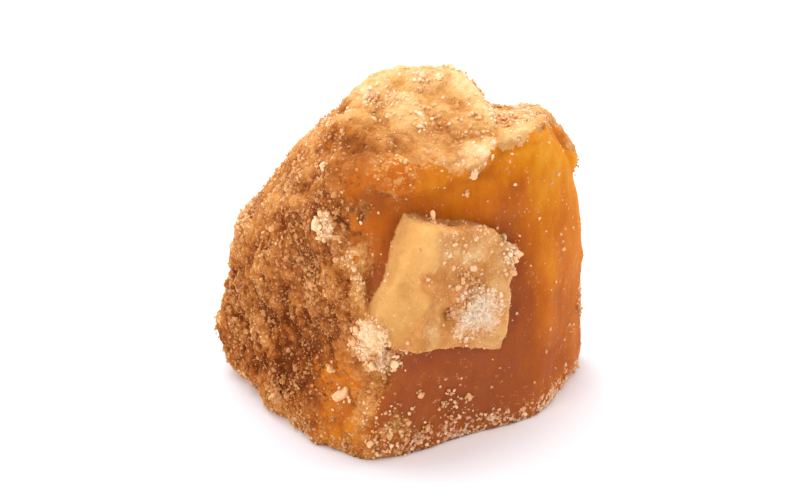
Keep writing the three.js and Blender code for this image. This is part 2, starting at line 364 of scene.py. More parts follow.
def block_surface():
    """(points, quads, edges): the field's zero level, first on a coarse grid and then on finer ones."""
    n = COARSEST
    index, directions = cube_grid(n)
    points = CORE + directions * reach_along(directions, block_field)[:, None]
    while True:
        edges = edges_of(index)
        for _ in range(ROUNDS[n]):
            points = points + SPREADING * (middles_of(edges, points) - points)
            points = pulled(pulled(points, block_field), block_field)
        if n >= FINEST:
            return points, quads_of(index), edges
        n *= 2
        finer_index, _ = cube_grid(n)
        points = finer(points, index, finer_index)
        index = finer_index


def fitted(points, box):
    """Points in millimetres, stretched onto a box in metres."""
    low, high = (np.array(corner) / MM for corner in box)
    span = points.max(0) - points.min(0)
    return low + (points - points.min(0)) / span * (high - low)


def mesh_object(name, points, faces, material, attributes=None, smooth=True):
    """A new mesh object. The points are in millimetres, and each attribute is a number at every point."""
    mesh = bpy.data.meshes.new(name)
    mesh.vertices.add(len(points))
    mesh.vertices.foreach_set("co", (points * MM).astype(np.float32).ravel())
    size = faces.shape[1]
    mesh.loops.add(faces.size)
    mesh.loops.foreach_set("vertex_index", faces.astype(np.int32).ravel())
    mesh.polygons.add(len(faces))
    mesh.polygons.foreach_set("loop_start", np.arange(0, faces.size, size, dtype=np.int32))
    mesh.polygons.foreach_set("use_smooth", np.full(len(faces), smooth))
    mesh.update(calc_edges=True)
    for key, values in (attributes or {}).items():
        mesh.attributes.new(key, "FLOAT", "POINT").data.foreach_set("value", values.astype(np.float32))
    mesh.materials.append(material)
    made = bpy.data.objects.new(name, mesh)
    bpy.context.scene.collection.objects.link(made)
    return made


# ---------------------------------------------------------------------------------------------------------
# Materials.


def linear(hex_colour):
    """An sRGB hex colour as linear red, green, blue and alpha."""
    values = [int(hex_colour[k : k + 2], 16) / 255 for k in (1, 3, 5)]
    return [v / 12.92 if v <= 0.04045 else ((v + 0.055) / 1.055) ** 2.4 for v in values] + [1.0]


def add(tree, kind, inputs, stops=(), **settings):
    """Adds a shader node and returns its outputs. The inputs are its sockets' names or numbers, each with a
    plain value or another node's output. The stops are a colour ramp's positions and hex colours."""
    node = tree.nodes.new("ShaderNode" + kind)
    for key, value in settings.items():
        setattr(node, key, value)
    for key, value in inputs.items():
        if isinstance(value, bpy.types.NodeSocket):
            tree.links.new(value, node.inputs[key])
        else:
            node.inputs[key].default_value = value
    if stops:
        elements = node.color_ramp.elements
        while len(elements) < len(stops):
            elements.new(0.5)
        for element, (position, colour) in zip(elements, stops):
            element.position = position
            element.color = linear(colour)
    return node.outputs


def new_material(name):
    """(a material, its empty node tree)."""
    material = bpy.data.materials.new(name)
    material.use_nodes = True
    material.node_tree.nodes.clear()
    return material, material.node_tree


def around(tree, value, amount):
    """A value from 0 to 1, spread over minus to plus the amount."""
    return add(tree, "Math", {0: value, 1: 2 * amount, 2: -amount}, operation="MULTIPLY_ADD")[0]


def steep(tree, value, steepness):
    """A slow slope round a half made a steep one, held between 0 and 1."""
    terms = {0: value, 1: steepness, 2: 0.5 - steepness / 2}
    return add(tree, "Math", terms, operation="MULTIPLY_ADD", use_clamp=True)[0]


def total(tree, *values):
    """The sum of the values."""
    result = values[0]
    for value in values[1:]:
        result = add(tree, "Math", {0: result, 1: value}, operation="ADD")[0]
    return result


def scale_of(size):
    """The scale of a pattern whose features are this size in millimetres."""
    return 1 / (size * MM)


CRUST_STOPS = [(0.0, "#662C0F"), (0.2, "#944E1E"), (0.4, "#B87236"), (0.6, "#D49554"), (0.8, "#E8B67A"),
               (1.0, "#F6D9AC")]
CRUMB_STOPS = [(0.0, "#6E3213"), (0.25, "#A35F26"), (0.5, "#D08E4C"), (0.7, "#EBB37A"), (0.85, "#F9CD9B"),
               (1.0, "#FFE2BE")]
AMBER_STOPS = [(0.0, "#924A30"), (0.25, "#A3511F"), (0.5, "#BE6616"), (0.75, "#D27F10"), (1.0, "#E0A030")]
SUGAR_DUST = "#FFCFAA"
ROSY, GOLDEN = "#E0924F", "#F2C474"  # the tints that some of the crust has
HAZE = "#C98A5C"  # fine crystals just under a broken face

CRYSTAL_SIZE = 0.42  # in mm, about twice a real one's, so that each can be told apart
CRYSTALS = scale_of(CRYSTAL_SIZE)
DUST = scale_of(0.22)  # sugar dust, far coarser than real, or it wouldn't show
SWIRL = scale_of(0.3)  # what bends the crystals' outlines
SWIRL_REACH = 0.9 * CRYSTAL_SIZE * MM
FINE = scale_of(1.2)  # small uneven patches in the amber and the crust
CLOUDS = scale_of(5.0)  # clouds in the amber
PATCHES = scale_of(3.5)  # rosy patches on the crust
STREAKS = scale_of(0.9)  # how wide the amber's flow streaks are
STREAK_DRAWING, STREAK_LEAN = (1.0, 1.0, 0.22), (0.2, 0.3, 0)  # they are long upwards, and lean a little
CRYSTAL_RELIEF, CRUMB_RELIEF = 0.28 * MM, 0.12 * MM  # how far the crystals stand up

# What the block's material reads at each vertex: how far crust covers the amber, the crust's tone from
# brown to cream, its tint from golden to rosy, the amber's own tone with painted glow (painted light where
# light would come through), sugar dust, grit, and stray crystals on the amber.
LOOKS = ("crust", "pale", "rosy", "amber_tone_and_painted_glow", "powder", "grit", "bloom")


def speckled(tree, place):
    """(tone, dome, dust), each from 0 to 1: a tone of its own for each crystal, how far it bulges, and fine
    dust. A swirl bends the crystals' outlines."""
    dust = add(tree, "TexNoise", {"Vector": place, "Scale": DUST, "Detail": 2, "Roughness": 0.6})["Fac"]
    swirl = add(tree, "TexNoise", {"Vector": place, "Scale": SWIRL, "Detail": 2})["Color"]
    bend = add(tree, "VectorMath", {0: swirl, 1: (-0.5, -0.5, -0.5)}, operation="ADD")[0]
    shift = add(tree, "VectorMath", {0: bend, "Scale": SWIRL_REACH}, operation="SCALE")[0]
    bent = add(tree, "VectorMath", {0: place, 1: shift}, operation="ADD")[0]
    crystals = add(tree, "TexVoronoi", {"Vector": bent, "Scale": CRYSTALS})
    tone = add(tree, "SeparateColor", {"Color": crystals["Color"]})["Red"]
    dome = add(tree, "Math", {0: crystals["Distance"], 1: -0.9, 2: 1.0}, operation="MULTIPLY_ADD")[0]
    return tone, dome, dust


def amber_colour(tree, amber_tone_and_painted_glow, cloud, streaks, fine, dust, stray):
    """The amber from dark to light syrup by its own tone and painted glow, which is painted light, in clouds
    and flow streaks, under a milky haze and stray crystals."""
    shades = total(tree, around(tree, cloud, 0.22), around(tree, streaks, 0.16), around(tree, fine, 0.08))
    # The painted glow is painted light: it moves the amber towards the light end of its ramp.
    light = total(tree, amber_tone_and_painted_glow, shades, around(tree, dust, 0.1))
    amber = add(tree, "ValToRGB", {"Fac": light}, AMBER_STOPS)["Color"]
    faint = add(tree, "Math", {0: dust, 1: 0.2}, operation="MULTIPLY")[0]
    haze = add(tree, "Math", {0: steep(tree, cloud, 3.0), 1: faint}, operation="MULTIPLY")[0]
    crystals = add(tree, "Math", {0: stray, 1: 0.7}, operation="MULTIPLY")[0]
    milky = add(tree, "Math", {0: crystals, 1: haze}, operation="MAXIMUM")[0]
    return add(tree, "Mix", {0: milky, 6: amber, 7: linear(HAZE)}, data_type="RGBA")[2]


def crust_colour(tree, place, pale, rosy, grit, tone, fine, dust):
    """The crust's tone from brown to cream, speckled crystal by crystal where it is gritty. Where the tint is
    above 0 it has rosy patches, and where it is below 0 it is golden."""
    specks = total(tree, around(tree, tone, 0.12), around(tree, dust, 0.1))
    speckle = add(tree, "Math", {0: grit, 1: specks}, operation="MULTIPLY")[0]
    light = total(tree, pale, speckle, around(tree, fine, 0.12))
    crust = add(tree, "ValToRGB", {"Fac": light}, CRUST_STOPS)["Color"]
    patch = add(tree, "TexNoise", {"Vector": place, "Scale": PATCHES, "Detail": 3, "Roughness": 0.55})["Fac"]
    patchy = add(tree, "Math", {0: steep(tree, patch, 4.0), 1: rosy}, operation="MULTIPLY")[0]
    rose = add(tree, "Math", {0: patchy, 1: 0.0}, operation="MAXIMUM")[0]
    crust = add(tree, "Mix", {0: rose, 6: crust, 7: linear(ROSY)}, data_type="RGBA")[2]
    turned = add(tree, "Math", {0: rosy, 1: -1.0}, operation="MULTIPLY")[0]
    gold = add(tree, "Math", {0: turned, 1: 0.0}, operation="MAXIMUM")[0]
    return add(tree, "Mix", {0: gold, 6: crust, 7: linear(GOLDEN)}, data_type="RGBA")[2]


def block_relief(tree, covered, grit, dome, streaks, dust, stray):
    """The bumped normal: bulging crystals and dust on the crust, and faint streaks and stray crystals on the
    amber. It is strongest where the crust is gritty."""
    bulge = add(tree, "Math", {0: dome, 1: 0.6}, operation="MULTIPLY")[0]
    crumbly = total(tree, bulge, dust)
    drawn = add(tree, "Math", {0: streaks, 1: 0.5}, operation="MULTIPLY")[0]
    faint = add(tree, "Math", {0: dust, 1: 0.6}, operation="MULTIPLY")[0]
    waxy = total(tree, drawn, stray, faint)
    height = add(tree, "Mix", {0: covered, 6: waxy, 7: crumbly}, data_type="RGBA")[2]
    gritty = add(tree, "Math", {0: grit, 1: covered}, operation="MULTIPLY")[0]
    strength = add(tree, "Math", {0: gritty, 1: 0.65, 2: 0.35}, operation="MULTIPLY_ADD")[0]
    return add(tree, "Bump", {"Height": height, "Strength": strength, "Distance": CRYSTAL_RELIEF})["Normal"]


def jaggery_material():
    """Hard jaggery, cane syrup boiled down and left to set, then broken. Where it broke it is see-through
    amber, with a waxy gloss, flow streaks and stray crystals. Where it didn't, it wears a dull pale crust of
    fine crystals. Crystal by crystal, the crust gives way to the amber."""
    material, tree = new_material("hard_jaggery")
    place = add(tree, "TexCoord", {})["Object"]
    crust, pale, rosy, amber_tone_and_painted_glow, powder, grit, bloom = (
        add(tree, "Attribute", {}, attribute_name=name)["Fac"] for name in LOOKS)
    tone, dome, dust = speckled(tree, place)
    cloud = add(tree, "TexNoise", {"Vector": place, "Scale": CLOUDS, "Detail": 3, "Roughness": 0.55})["Fac"]
    fine = add(tree, "TexNoise", {"Vector": place, "Scale": FINE, "Detail": 4, "Roughness": 0.6})["Fac"]
    drawn = add(tree, "Mapping", {"Vector": place, "Scale": STREAK_DRAWING, "Rotation": STREAK_LEAN})[0]
    streaks = add(tree, "TexNoise", {"Vector": drawn, "Scale": STREAKS, "Detail": 3, "Roughness": 0.6})["Fac"]

    grain = total(tree, around(tree, tone, 0.2), around(tree, dome, 0.25), around(tree, dust, 0.2))
    covered = steep(tree, total(tree, crust, grain, around(tree, fine, 0.25)), 5.0)
    stray = steep(tree, total(tree, bloom, around(tree, tone, 0.5), around(tree, dome, 0.35)), 9.0)
    amber = amber_colour(tree, amber_tone_and_painted_glow, cloud, streaks, fine, dust, stray)
    crumbs = crust_colour(tree, place, pale, rosy, grit, tone, fine, dust)
    colour = add(tree, "Mix", {0: covered, 6: amber, 7: crumbs}, data_type="RGBA")[2]
    dusted = steep(tree, total(tree, powder, around(tree, dust, 0.35), around(tree, tone, 0.35)), 3.0)
    powdered = add(tree, "Math", {0: dusted, 1: 0.85}, operation="MULTIPLY")[0]
    colour = add(tree, "Mix", {0: powdered, 6: colour, 7: linear(SUGAR_DUST)}, data_type="RGBA")[2]

    dull = add(tree, "Math", {0: covered, 1: 0.1, 2: 0.65}, operation="MULTIPLY_ADD")[0]
    shader = add(tree, "BsdfPrincipled", {
        "Base Color": colour,
        "Roughness": total(tree, dull, around(tree, fine, 0.08)),
        "Normal": block_relief(tree, covered, grit, dome, streaks, dust, stray),
        "IOR": 1.45,
        "Specular IOR Level": 0.02,
        "Subsurface Weight": add(tree, "Math", {0: covered, 1: -0.5, 2: 0.7}, operation="MULTIPLY_ADD")[0],
        "Subsurface Radius": (1.0, 0.4, 0.1),
        "Subsurface Scale": 4.0 * MM,
    })
    add(tree, "OutputMaterial", {"Surface": shader["BSDF"]})
    return material


def crumb_material():
    """Crumbs of set cane sugar: each has a tone of its own, and is itself made of finer crystals, which give
    it a dull, faintly see-through look."""
    material, tree = new_material("sugar_crumbs")
    place = add(tree, "TexCoord", {})["Object"]
    tone, dome, dust = speckled(tree, place)
    own = add(tree, "Attribute", {}, attribute_name="tone")["Fac"]
    light = total(tree, own, around(tree, tone, 0.06), around(tree, dust, 0.12))
    bulge = add(tree, "Math", {0: dome, 1: 0.4}, operation="MULTIPLY")[0]
    relief = {"Height": total(tree, bulge, dust), "Distance": CRUMB_RELIEF, "Strength": 0.7}
    shader = add(tree, "BsdfPrincipled", {
        "Base Color": add(tree, "ValToRGB", {"Fac": light}, CRUMB_STOPS)["Color"],
        "Roughness": 0.5,
        "Normal": add(tree, "Bump", relief)["Normal"],
        "IOR": 1.5,
        "Subsurface Weight": 0.3,
        "Subsurface Radius": (1.0, 0.6, 0.3),
        "Subsurface Scale": 0.6 * MM,
    })
    add(tree, "OutputMaterial", {"Surface": shader["BSDF"]})
    return material


# ---------------------------------------------------------------------------------------------------------
# The block.

CRUMB_SIZE, CRUMB_HEIGHT = 1.7, 0.5  # the crust's crumbs
GRAIN_SIZE, GRAIN_HEIGHT = 0.85, 0.28  # the grains on them
LEVEL = 0.7  # a crumb or a grain whose height is this, of 1, is level with the smooth surface
BEND_SIZE, BEND_HEIGHT = 1.2, 0.5  # what makes their outlines uneven
CAKE_SIZE = 3.4  # patches where the crumbs are caked together
RAGGED_SIZE, RAGGED_DETAIL = 1.9, 0.9  # the bays and tongues of the crust's edge
BREAK_SIZE, BREAK_HEIGHT = 2.4, 0.1  # the faint waves of a broken face
BREAK_DETAIL, BREAK_DETAIL_HEIGHT = 0.9, 0.04
STREAK_SIZE, STREAK_HEIGHT = 1.3, 0.04  # its streaks, which are five times as long upwards
STREAK_STRETCH = (1, 1, 0.2)
PIT_DEPTH = 0.7
FLAT_BASE = 0.8  # the relief fades out this close to the ground
GROUND_REACH = (0.5, 3.5)  # dust and stray crystals fade out between these heights

# Spots on the surface, each with its middle and radii: where the crust is rubbed thin over the amber, where
# it crumbles, where white sugar dust lies, where stray crystals cling to a broken face, and a small pit.
THIN_SPOTS = {
    "low front corner": ((-7.6, -14.0, 6.0), (4.0, 4.0, 6.4)),
    "brow": ((0.5, -12.5, 31.8), (9.0, 3.0, 2.0)),
    "under the step": ((12.2, -7.6, 31.8), (3.4, 2.0, 1.3)),
    "left side": ((-15.0, 9.5, 14.0), (5.0, 4.5, 4.5)),
    "back": ((-6.0, 16.5, 10.0), (6.0, 4.0, 4.0)),
}
CRUMBLY_SPOTS = {
    "flake's left foot": ((-4.0, -17.0, 14.6), (2.2, 2.8, 3.4)),
    "flake's low edge": ((-1.6, -16.9, 12.4), (2.6, 2.2, 1.9)),
    "flake's right rim": ((11.9, -10.8, 21.2), (1.3, 1.8, 3.2)),
    "left spark": ((-8.8, -13.2, 26.7), (1.0, 1.4, 1.5)),
}
DUSTY_SPOTS = {
    "flake": ((8.5, -13.6, 16.0), (2.9, 2.8, 2.6)),
    "flake's right rim": ((12.0, -10.6, 21.4), (1.2, 2.0, 2.2)),
}
SPECKLED_SPOTS = {
    "low front": ((2.0, -13.5, 4.0), (9.5, 5.0, 5.0)),
    "back right": ((15.0, 8.0, 8.0), (5.0, 8.0, 5.0)),
}
PITS = {"flake": ((5.3, -15.9, 16.8), (1.1, 1.2, 1.3))}
# Where the crust is browner or creamier than its surroundings, some of it painted light or shade: middle,
# radii and change in tone.
TONED_SPOTS = {
    "brow": ((-8.0, -12.0, 30.0), (5.5, 4.5, 3.4), -0.24),
    "dome's left": ((-6.5, -8.0, 33.4), (4.0, 4.5, 2.6), -0.14),
    "dome's right": ((8.2, -9.2, 32.8), (2.2, 3.0, 2.2), 0.2),
    "dome's left hollow": ((-8.0, -5.5, 33.0), (2.2, 3.0, 2.2), -0.12),
    "above the hollow": ((-6.0, -5.5, 34.9), (3.6, 2.6, 1.5), -0.12),
    "dome's upper left": ((-4.2, -2.5, 35.9), (2.4, 2.0, 1.4), -0.08),
    "dome's top": ((2.5, -1.0, 36.8), (6.0, 2.2, 1.4), 0.1),
    # The step's foot and front edge are paler partly as painted light that lifts the step's shade.
    "step's foot": ((10.2, 2.0, 32.2), (3.0, 8.0, 3.2), 0.26),
    "step's front edge": ((11.4, -6.5, 33.2), (3.2, 2.4, 1.8), 0.12),
    # The left foot is darker: painted shade.
    "left foot": ((-12.0, -9.0, 9.0), (6.0, 6.0, 6.0), -0.12),
    "below the spark": ((-10.5, -10.5, 23.8), (4.5, 4.5, 2.4), -0.09),
    "front corner's foot": ((-8.2, -13.6, 2.2), (4.0, 3.6, 2.2), -0.14),
    "low front corner": ((-7.0, -14.5, 6.3), (3.0, 3.0, 3.6), 0.2),
    "beside the flake": ((-4.0, -16.0, 21.5), (2.0, 2.6, 4.5), 0.12),
    "flake's top right": ((7.5, -12.0, 25.5), (3.5, 3.0, 1.2), -0.14),
    "flake's low edge": ((5.0, -16.0, 12.3), (7.0, 4.0, 1.6), -0.1),
    "flake's band": ((6.0, -14.0, 21.0), (5.5, 4.0, 1.6), -0.2),
    "flake's pit": ((5.3, -15.9, 16.8), (1.3, 2.0, 1.7), -0.38),
}
# Where the crust is more golden.
GOLDEN_SPOTS = {
    "step": ((11.0, 0.0, 32.6), (4.2, 9.0, 3.2)),
}
# Where a thin crust reaches further over the amber.
CRUSTED_SPOTS = {
    "beside the flake": ((-3.8, -15.6, 23.0), (1.8, 2.6, 4.0)),
}
# Where the amber's painted glow is more or less than round it: middle, radii and change. Under the brow,
# under the step and above the flake it is painted light that lifts the shade there.
PAINTED_GLOW_SPOTS = {
    "under the brow": ((6.2, -11.5, 27.5), (5.4, 4.0, 4.0), 0.22),
    "under the step": ((12.2, -7.6, 31.8), (3.6, 2.4, 2.0), 0.2),
    "right foot": ((19.0, -2.0, 8.0), (4.0, 7.0, 9.0), 0.06),
    "beside the flake": ((12.0, -9.0, 26.0), (3.0, 3.0, 3.0), -0.12),
    "above the flake": ((6.5, -13.0, 26.0), (4.0, 3.0, 1.6), 0.1),
    "brow": ((-2.0, -13.5, 31.5), (4.5, 3.0, 2.5), -0.1),
}
AMBER_EDGE, AMBER_EDGE_REACH = (16.4, -5.4), 3.4  # the upright edge that light shines through, in plan
PROUD_REACH = 1.6  # how far round it a vertex is compared with the rest of the surface
PROUD_HEIGHT = 0.4  # what stands out this far counts as a full ridge


def spot(p, middle, radii, ragged=0.3, soft=0.3):
    """1 in the middle of an ellipsoid and 0 outside it, with a ragged edge."""
    distance = np.linalg.norm((p - np.array(middle)) / radii, axis=1)
    return 1 - smoothstep(distance + ragged * rough_waves(p, 1.6, 101), 1 - soft, 1 + soft)


def spots(p, places, **edge):
    """The largest of several spots."""
    return np.max([spot(p, middle, radii, **edge) for middle, radii in places.values()], axis=0)


def proud(points, normals, edges):
    """How far each vertex stands out, in mm, from the surface smoothed over the reach round it: edges are
    above 0 and hollows below it. Each round of smoothing spreads a point over about one edge more."""
    spacing = np.median(np.linalg.norm(points[edges[:, 0]] - points[edges[:, 1]], axis=1))
    smooth = points
    for _ in range(int(2 * (PROUD_REACH / spacing) ** 2)):
        smooth = middles_of(edges, smooth)
    return ((points - smooth) * normals).sum(1)


def lie_of(rest, normals, edges):
    """What every vertex's looks are worked out from, for the points before they are fitted to the box: its
    place and height in mm, how much it is a ridge, its streaks, its crumbs and grains with a number for each,
    and from 0 to 1 how far it faces up, to the left front or back, or lies in one of the parts."""
    up = smoothstep(normals[:, 2], 0.0, 0.85)
    on_flake = smoothstep(-flake_field(rest), -0.5, -0.1)
    right_part = smoothstep(beside_ridge(rest) + 1.4 * waves(rest, 2.4, 63), -1.2, 1.4)
    bent = rest + BEND_HEIGHT * np.stack([waves(rest, BEND_SIZE, seed) for seed in (64, 65, 66)], 1)
    crumbs, crumb_tone = lumps(bent, CRUMB_SIZE, 71)
    grains, grain_tone = lumps(bent, GRAIN_SIZE, 81)
    return SimpleNamespace(
        rest=rest,
        height=rest[:, 2],
        ridges=np.clip(proud(rest, normals, edges) / PROUD_HEIGHT, -0.6, 1),
        streaks=waves(rest * STREAK_STRETCH, STREAK_SIZE, 94),
        crumbs=crumbs,
        crumb_tone=crumb_tone,
        grains=grains,
        grain_tone=grain_tone,
        up=up,
        left=smoothstep(-normals[:, 0], 0.2, 0.9) * smoothstep(-normals[:, 1], -0.2, 0.5) * (1 - up),
        behind=smoothstep(normals[:, 1], -0.3, 0.4),
        by_ground=1 - smoothstep(rest[:, 2], *GROUND_REACH),
        on_flake=on_flake,
        right_part=right_part,
        on_flank=on_flake * (1 - right_part),
        on_right=on_flake * right_part,
        crumbly=spots(rest, CRUMBLY_SPOTS),
        dusty=spots(rest, DUSTY_SPOTS, soft=0.45),
    )


def crust_of(lie):
    """How much crust covers the amber: the facets' share with a ragged edge, less in the thin spots, at least
    0.65 in the crusted ones, and whole on the flake and where it crumbles."""
    share = crust_share(lie.rest, facet_field(lie.rest)[1])
    ragged = share + 0.16 * waves(lie.rest, RAGGED_SIZE, 61) + 0.1 * waves(lie.rest, RAGGED_DETAIL, 62)
    worn = smoothstep(ragged, 0.38, 0.6) * (1 - 0.6 * spots(lie.rest, THIN_SPOTS, soft=0.5))
    crust = np.maximum(worn, 0.65 * spots(lie.rest, CRUSTED_SPOTS, soft=0.5))
    return np.maximum(crust, np.maximum(lie.on_flake, lie.crumbly))


def grit_of(lie, crust):
    """How gritty the surface is: as its crust, but less on top and on the left. The flake has a grit of its
    own, and crumbly and dusty spots have at least 0.45 and 0.9."""
    grit = crust * (1 - 0.48 * lie.up) * (1 - 0.2 * lie.left)
    flakes_own = 0.22 + 0.3 * lie.right_part
    grit = np.where(lie.on_flake > 0, grit * (1 - lie.on_flake) + lie.on_flake * flakes_own, grit)
    return np.maximum(grit, np.maximum(0.45 * lie.crumbly, 0.9 * lie.dusty))


def relief_of(lie, grit):
    """The relief in mm along the normals: crumbs and grains where it is gritty, low waves and streaks on a
    smooth break, and the pit."""
    caked = (0.3 + 0.7 * smoothstep(rough_waves(lie.rest, CAKE_SIZE, 97), -0.5, 0.5)) * (1 - 0.5 * lie.left)
    crumbs = caked * CRUMB_HEIGHT * (lie.crumbs - LEVEL)
    grains = GRAIN_HEIGHT * (1 + 0.6 * lie.left) * (lie.grains - LEVEL)
    broken = BREAK_HEIGHT * waves(lie.rest, BREAK_SIZE, 91)
    broken = broken + BREAK_DETAIL_HEIGHT * waves(lie.rest, BREAK_DETAIL, 92) + STREAK_HEIGHT * lie.streaks
    return grit * (crumbs + grains) + (1 - grit) * broken - PIT_DEPTH * spots(lie.rest, PITS)


def tone_of(lie, grit):
    """The crust's tone, from brown at 0 to cream at 1: palest on top, darkest on the left (partly a painted
    shade), lighter on ridges (partly a painted rim light) and on what rises, with patches, and a tone for
    each crumb. The flake's flank, painted lighter towards its top as a highlight, and its rough right part
    have tones of their own, and the toned spots add theirs, some of them painted light or shade."""
    rise = 0.6 * lie.crumbs + 0.4 * lie.grains - 0.62
    # Faces turned to the left are darker, partly as painted shade.
    tone = 0.33 + 0.18 * lie.up + 0.26 * smoothstep(lie.height, 33, 37) - 0.13 * lie.left
    tone = tone + 0.12 * lie.behind * rough_waves(lie.rest, 8.0, 99)
    tone = tone + (0.12 - 0.04 * lie.up) * rough_waves(lie.rest, 4.0, 93)
    # Ridges are lighter, partly as a painted rim light, and hollows darker.
    tone = tone + (0.16 - 0.06 * lie.up) * lie.ridges
    own_tones = (0.6 - 0.4 * lie.left) * lie.crumb_tone + (0.4 + 0.6 * lie.left) * lie.grain_tone - 0.5
    tone = tone + grit * (0.3 * rise + (0.12 + 0.18 * lie.left) * own_tones)
    # The flank grows lighter towards its top: a painted highlight.
    flank = 0.465 + 0.0085 * (lie.height - 12) + 0.05 * lie.streaks + 0.05 * waves(lie.rest, 3.0, 95)
    rough_part = 0.73 + 0.1 * rough_waves(lie.rest, 2.2, 96) + 0.3 * grit * rise
    tone = tone * (1 - lie.on_flake) + lie.on_flank * flank + lie.on_right * rough_part
    for middle, radii, change in TONED_SPOTS.values():
        tone = tone + change * spot(lie.rest, middle, radii, soft=0.6)
    return np.maximum(tone, lie.crumbly * 0.86)


def tint_of(lie):
    """The crust's tint, rosy above 0 and golden below it: rosiest on the flake's right part and where it
    crumbles, golden on the dome, the flake's flank and the golden spots, and mixed behind."""
    tint = 0.15 + 0.05 * lie.left + 0.35 * lie.on_right - 0.4 * smoothstep(lie.height, 33, 36.5)
    tint = tint - lie.on_flank * (0.3 + 0.2 * smoothstep(lie.height, 12, 20))
    tint = tint * (1 - lie.left * (1 - smoothstep(lie.height, 9, 17))) + 0.35 * lie.crumbly
    tint = tint + lie.behind * (0.1 + 0.3 * waves(lie.rest, 7.0, 100))
    return tint - 0.4 * spots(lie.rest, GOLDEN_SPOTS, soft=0.5)


def amber_tone_and_painted_glow_of(lie):
    """The amber's own tone with its painted glow, a painted light that stands for light coming through it:
    more towards the top, along the upright edge, at the right end and on ridges, less in hollows, more at
    the low front corner, and more or less in the painted glow spots."""
    x, y = lie.rest[:, 0], lie.rest[:, 1]
    from_edge = ((x - AMBER_EDGE[0]) / AMBER_EDGE_REACH) ** 2 + ((y - AMBER_EDGE[1]) / AMBER_EDGE_REACH) ** 2
    # Painted light: lighter towards the top, by the upright edge, at the right end and on ridges, as if lit
    # through.
    amber_tone_and_painted_glow = 0.14 + 0.3 * smoothstep(lie.height, 14, 31)
    amber_tone_and_painted_glow = amber_tone_and_painted_glow + 0.5 * np.exp(-from_edge) * smoothstep(lie.height, 2, 27) + 0.12 * lie.ridges
    amber_tone_and_painted_glow = amber_tone_and_painted_glow + 0.37 * smoothstep(x, 15, 19) * smoothstep(lie.height, -4, 24)
    # The spots' painted light lifts the shade under the brow, the step and above the flake.
    for middle, radii, change in PAINTED_GLOW_SPOTS.values():
        amber_tone_and_painted_glow = amber_tone_and_painted_glow + change * spot(lie.rest, middle, radii, soft=0.6)
    return amber_tone_and_painted_glow + 0.4 * spot(lie.rest, *THIN_SPOTS["low front corner"])


def bloom_of(lie):
    """How many stray crystals the amber wears: patches of them, more in the speckled spots, on ridges and by
    the ground."""
    bloom = 0.16 * rough_waves(lie.rest, 2.6, 98) - 0.33 + 0.26 * spots(lie.rest, SPECKLED_SPOTS, soft=0.6)
    return bloom + 0.1 * np.maximum(lie.ridges, 0) + 0.15 * lie.by_ground


def looks_of(lie, crust, grit):
    """The attributes that the block's material reads, by name."""
    powder = 1.35 * lie.dusty + 0.42 * lie.by_ground * (1 - crust)
    values = (crust, tone_of(lie, grit), tint_of(lie), amber_tone_and_painted_glow_of(lie), powder, grit, bloom_of(lie))
    return dict(zip(LOOKS, values))


block_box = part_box("jaggery_block")
rest, quads, edges = block_surface()
points = fitted(rest, block_box)
lie = lie_of(rest, normals_of(points, quads), edges)
crust = crust_of(lie)
grit = grit_of(lie, crust)
looks = looks_of(lie, crust, grit)
relief = relief_of(lie, grit) * smoothstep(points[:, 2], 0.05, FLAT_BASE)
points = fitted(points + normals_of(points, quads) * relief[:, None], block_box)
normals = normals_of(points, quads)
block = mesh_object("broken_block", points, quads, jaggery_material(), looks)
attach(block, "root")
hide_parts("jaggery_block")

# ---------------------------------------------------------------------------------------------------------
# Sugar grains and crumbs that cling to the block.

HEAP_SIZE = 4.2  # the heaps that the crumbs gather in
PATCHY_SIZE = 3.5  # the patches where there are more or fewer

upward = smoothstep(normals[:, 2], -0.4, 0.9)
heaps = smoothstep(lumps(rest, HEAP_SIZE, 111)[0], 0.45, 0.85)
patchy = smoothstep(rough_waves(rest, PATCHY_SIZE, 121), -0.6, 0.7)


def icosahedron():
    """12 unit vertices and 20 faces, all turned outwards: every three vertices that are an edge apart."""
    golden = (1 + math.sqrt(5)) / 2
    signs = list(product((-1, 1), repeat=2))
    vertices = np.array([np.roll((0, a, b * golden), k) for k in range(3) for a, b in signs])
    joined = np.linalg.norm(vertices[:, None] - vertices, axis=2) < 2.1  # an edge is 2 long
    trios = [t for t in combinations(range(12), 3) if all(joined[pair] for pair in combinations(t, 2))]
    faces = [t if np.linalg.det(vertices[list(t)]) > 0 else (t[0], t[2], t[1]) for t in trios]
    return vertices / np.linalg.norm(vertices[0]), np.array(faces)


def finer_ball(vertices, faces):
    """Each face split in four, and the new vertices pushed out to the unit sphere."""
    pairs = np.sort(faces[:, [0, 1, 1, 2, 2, 0]].reshape(-1, 2), axis=1)
    unique, number = np.unique(pairs, axis=0, return_inverse=True)
    middles = vertices[unique].sum(1)
    middles /= np.linalg.norm(middles, axis=1, keepdims=True)
    ab, bc, ca = (number.reshape(-1, 3) + len(vertices)).T
    a, b, c = faces.T
    quarters = [(a, ab, ca), (ab, b, bc), (ca, bc, c), (ab, bc, ca)]
    return np.vstack([vertices, middles]), np.vstack([np.stack(quarter, 1) for quarter in quarters])


def octahedron():
    """Six unit vertices and eight faces, all turned outwards."""
    vertices = np.array([(1, 0, 0), (-1, 0, 0), (0, 1, 0), (0, -1, 0), (0, 0, 1), (0, 0, -1)], float)
    faces = [(0, 2, 4), (2, 1, 4), (1, 3, 4), (3, 0, 4), (2, 0, 5), (1, 2, 5), (3, 1, 5), (0, 3, 5)]
    return vertices, np.array(faces)


